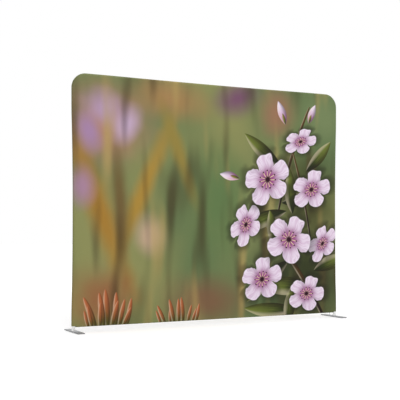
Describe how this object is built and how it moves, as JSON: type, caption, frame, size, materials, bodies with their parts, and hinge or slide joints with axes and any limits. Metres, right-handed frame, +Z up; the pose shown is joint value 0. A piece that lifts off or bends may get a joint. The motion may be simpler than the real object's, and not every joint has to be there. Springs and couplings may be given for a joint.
{
  "type": "fabric room divider",
  "caption": "Free-standing fabric room divider: a printed stretch sleeve over a tubular frame with rounded top corners, standing on flat cross feet.",
  "frame": {"origin": "on the floor at the middle of the panel, midway between the two feet", "axes": "+X along the panel to the right as seen from the front, +Y to the back, +Z up"},
  "size_m": [2.5116, 0.32, 2],
  "materials": {
    "anodised_tube": "satin silver anodised tube",
    "mill_aluminium": "mill-finish turned aluminium",
    "rivet_aluminium": "plain aluminium rivets",
    "spring_steel": "tempered spring steel strip",
    "button_steel": "nickel-plated steel button",
    "foot_steel": "silver-grey powder-coated steel plate",
    "turned_steel": "turned steel",
    "zinc_steel": "zinc-plated screw",
    "rubber_pad": "black rubber",
    "printed_fabric": "dye-printed stretch knit, matt with a faint sheen",
    "zip_tape": "woven polyester tape",
    "zip_coil": "nylon coil",
    "zip_metal": "nickel-plated zinc casting"
  },
  "bodies": {
    "frame": {"left_lower_pole": "anodised_tube", "left_upper_pole": "anodised_tube", "left_corner_bend": "anodised_tube", "left_top_rail": "anodised_tube", "left_bottom_rail": "anodised_tube", "left_rail_spigot": "mill_aluminium", "right_lower_pole": "anodised_tube", "right_upper_pole": "anodised_tube", "right_corner_bend": "anodised_tube", "right_top_rail": "anodised_tube", "right_bottom_rail": "anodised_tube", "right_rail_spigot": "mill_aluminium", "top_centre_ferrule": "mill_aluminium", "bottom_centre_ferrule": "mill_aluminium", "left_pole_ferrule": "mill_aluminium", "left_shoulder_ferrule": "mill_aluminium", "left_corner_ferrule": "mill_aluminium", "right_pole_ferrule": "mill_aluminium", "right_shoulder_ferrule": "mill_aluminium", "right_corner_ferrule": "mill_aluminium", "ferrule_rivets": "rivet_aluminium", "top_centre_spring": "spring_steel", "bottom_centre_spring": "spring_steel", "left_pole_spring": "spring_steel", "left_shoulder_spring": "spring_steel", "left_corner_spring": "spring_steel", "left_rail_spring": "spring_steel", "right_pole_spring": "spring_steel", "right_shoulder_spring": "spring_steel", "right_corner_spring": "spring_steel", "right_rail_spring": "spring_steel", "sleeve_front": "printed_fabric", "sleeve_back": "printed_fabric", "zip_tape_front": "zip_tape", "zip_tape_back": "zip_tape", "zip_coil_front": "zip_coil", "zip_coil_back": "zip_coil", "zip_stops": "zip_metal"},
    "left_foot": {"left_foot_plate": "foot_steel", "left_foot_spigot": "turned_steel", "left_foot_screw": "zinc_steel", "left_foot_pads": "rubber_pad"},
    "right_foot": {"right_foot_plate": "foot_steel", "right_foot_spigot": "turned_steel", "right_foot_screw": "zinc_steel", "right_foot_pads": "rubber_pad"},
    "top_centre_button": {"top_centre_button": "button_steel"},
    "bottom_centre_button": {"bottom_centre_button": "button_steel"},
    "left_pole_button": {"left_pole_button": "button_steel"},
    "left_shoulder_button": {"left_shoulder_button": "button_steel"},
    "left_corner_button": {"left_corner_button": "button_steel"},
    "left_rail_button": {"left_rail_button": "button_steel"},
    "right_pole_button": {"right_pole_button": "button_steel"},
    "right_shoulder_button": {"right_shoulder_button": "button_steel"},
    "right_corner_button": {"right_corner_button": "button_steel"},
    "right_rail_button": {"right_rail_button": "button_steel"},
    "zip_slider": {"zip_slider": "zip_metal"},
    "zip_puller": {"zip_puller": "zip_metal"}
  },
  "joints": [
    {"name": "left_foot_swivel", "type": "hinge", "parent": "frame", "child": "left_foot", "pos_m": [-1.2338, 0, 0.05], "axis": [0, 0, 1], "continuous": true},
    {"name": "right_foot_swivel", "type": "hinge", "parent": "frame", "child": "right_foot", "pos_m": [1.2338, 0, 0.05], "axis": [0, 0, 1], "continuous": true},
    {"name": "top_centre_press", "type": "slide", "parent": "frame", "child": "top_centre_button", "axis": [0, 0, 1], "range_m": [0, 0.00408], "stiffness_N_per_m": 1500, "springref_m": -0.002, "deforming": ["top_centre_spring"]},
    {"name": "bottom_centre_press", "type": "slide", "parent": "frame", "child": "bottom_centre_button", "axis": [0, 0, -1], "range_m": [0, 0.00408], "stiffness_N_per_m": 1500, "springref_m": -0.002, "deforming": ["bottom_centre_spring"]},
    {"name": "left_pole_press", "type": "slide", "parent": "frame", "child": "left_pole_button", "axis": [-1, 0, 0], "range_m": [0, 0.00408], "stiffness_N_per_m": 1500, "springref_m": -0.002, "deforming": ["left_pole_spring"]},
    {"name": "left_shoulder_press", "type": "slide", "parent": "frame", "child": "left_shoulder_button", "axis": [-1, 0, 0], "range_m": [0, 0.00408], "stiffness_N_per_m": 1500, "springref_m": -0.002, "deforming": ["left_shoulder_spring"]},
    {"name": "left_corner_press", "type": "slide", "parent": "frame", "child": "left_corner_button", "axis": [0, 0, 1], "range_m": [0, 0.00408], "stiffness_N_per_m": 1500, "springref_m": -0.002, "deforming": ["left_corner_spring"]},
    {"name": "left_rail_press", "type": "slide", "parent": "frame", "child": "left_rail_button", "axis": [0, 0, -1], "range_m": [0, 0.00408], "stiffness_N_per_m": 1500, "springref_m": -0.002, "deforming": ["left_rail_spring"]},
    {"name": "right_pole_press", "type": "slide", "parent": "frame", "child": "right_pole_button", "axis": [1, 0, 0], "range_m": [0, 0.00408], "stiffness_N_per_m": 1500, "springref_m": -0.002, "deforming": ["right_pole_spring"]},
    {"name": "right_shoulder_press", "type": "slide", "parent": "frame", "child": "right_shoulder_button", "axis": [1, 0, 0], "range_m": [0, 0.00408], "stiffness_N_per_m": 1500, "springref_m": -0.002, "deforming": ["right_shoulder_spring"]},
    {"name": "right_corner_press", "type": "slide", "parent": "frame", "child": "right_corner_button", "axis": [0, 0, 1], "range_m": [0, 0.00408], "stiffness_N_per_m": 1500, "springref_m": -0.002, "deforming": ["right_corner_spring"]},
    {"name": "right_rail_press", "type": "slide", "parent": "frame", "child": "right_rail_button", "axis": [0, 0, -1], "range_m": [0, 0.00408], "stiffness_N_per_m": 1500, "springref_m": -0.002, "deforming": ["right_rail_spring"]},
    {"name": "zip_slide", "type": "slide", "parent": "frame", "child": "zip_slider", "axis": [-1, 0, 0], "range_m": [0, 2.3652]},
    {"name": "zip_pull_swing", "type": "hinge", "parent": "zip_slider", "child": "zip_puller", "pos_m": [1.1826, 0, 0.03505], "axis": [0, 1, 0], "range_deg": [-85, 85]}
  ]
}
